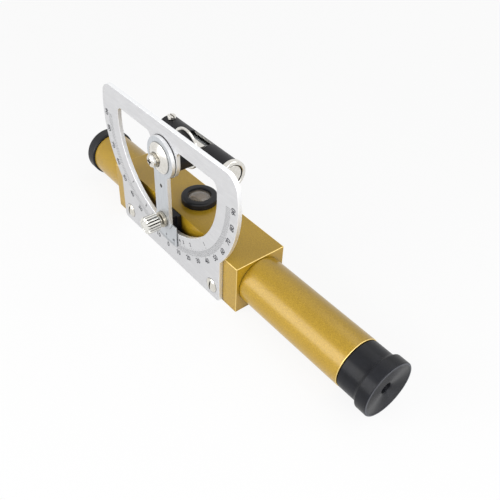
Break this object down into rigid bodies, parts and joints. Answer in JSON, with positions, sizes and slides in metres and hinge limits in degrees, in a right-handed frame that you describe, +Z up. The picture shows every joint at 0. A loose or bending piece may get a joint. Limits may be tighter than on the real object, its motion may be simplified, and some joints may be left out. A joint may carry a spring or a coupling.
{
  "type": "abney level",
  "caption": "Hand-held clinometer level: sight tube in a square housing, graduated arc plate on the side, and a clamped index arm that turns a bubble vial above the tube.",
  "frame": {"origin": "middle of the square housing's underside, where the level stands", "axes": "+X along the sight line towards the eyepiece, -Y towards the arc plate, +Z up"},
  "size_m": [0.1994, 0.0385, 0.0685],
  "materials": {
    "gold": "sand-blasted gold anodised",
    "rubber": "matte moulded rubber",
    "black": "satin black anodised",
    "satin": "satin brushed",
    "bright": "bright nickel plated",
    "steel": "turned",
    "brass": "turned",
    "washer": "matte black",
    "cork": "cork",
    "glass": "polished clear",
    "spirit": "clear liquid",
    "mirror": "silvered"
  },
  "bodies": {
    "sight": {"housing": "gold", "eyepiece_tube": "gold", "objective_tube": "gold", "eyecup": "rubber", "eye_lens": "glass", "eye_lens_ring": "black", "objective_ring": "black", "objective_glass": "glass", "sighting_ring": "brass", "sighting_wire": "steel", "mirror_carrier": "black", "bubble_mirror": "mirror", "lens_ring": "black", "bubble_lens": "glass", "arc_plate": "satin", "plate_screws": "bright"},
    "index": {"pivot_axle": "steel", "friction_washer": "washer", "index_arm": "satin", "vernier_plate": "satin", "domed_washer": "bright", "spring_washer": "steel", "pivot_screw": "bright", "pivot_hub": "black", "vial_saddle": "bright", "vial_holder": "black", "vial_end_ring": "bright", "vial_end_plug": "bright", "vial_far_plug": "black", "vial_seat": "cork", "clamp_collar": "steel"},
    "clamp_screw": {"clamp_knob": "bright", "clamp_stud": "steel"},
    "clamp_jaw": {"clamp_jaw": "black"},
    "adjuster": {"adjusting_screw": "bright"},
    "vial": {"vial_sleeve": "brass", "vial_glass": "glass", "vial_spirit": "spirit"}
  },
  "joints": [
    {"name": "index_swing", "type": "hinge", "parent": "sight", "child": "index", "pos_m": [0, -0.0135, 0.0535], "axis": [0, 1, 0], "range_deg": [-90, 90]},
    {"name": "clamp_turn", "type": "hinge", "parent": "index", "child": "clamp_screw", "pos_m": [0, -0.0165, 0.0222], "axis": [0, 1, 0], "range_deg": [-90, 150]},
    {"name": "clamp_grip", "type": "slide", "parent": "index", "child": "clamp_jaw", "axis": [0, -1, 0], "range_m": [-0.000125, 0.000208]},
    {"name": "adjuster_turn", "type": "hinge", "parent": "index", "child": "adjuster", "pos_m": [-0.0204, 0.0032, 0.0562], "axis": [0, 0, -1], "range_deg": [-180, 180]},
    {"name": "vial_rock", "type": "hinge", "parent": "index", "child": "vial", "pos_m": [0.0158, 0.0032, 0.05], "axis": [0, -1, 0], "range_deg": [-0.45, 0.45]}
  ],
  "couplings": [
    {"joint": "clamp_turn", "follows": "clamp_grip", "rad_per_m": 12566},
    {"joint": "vial_rock", "follows": "adjuster_turn", "ratio": 0.0021983}
  ]
}
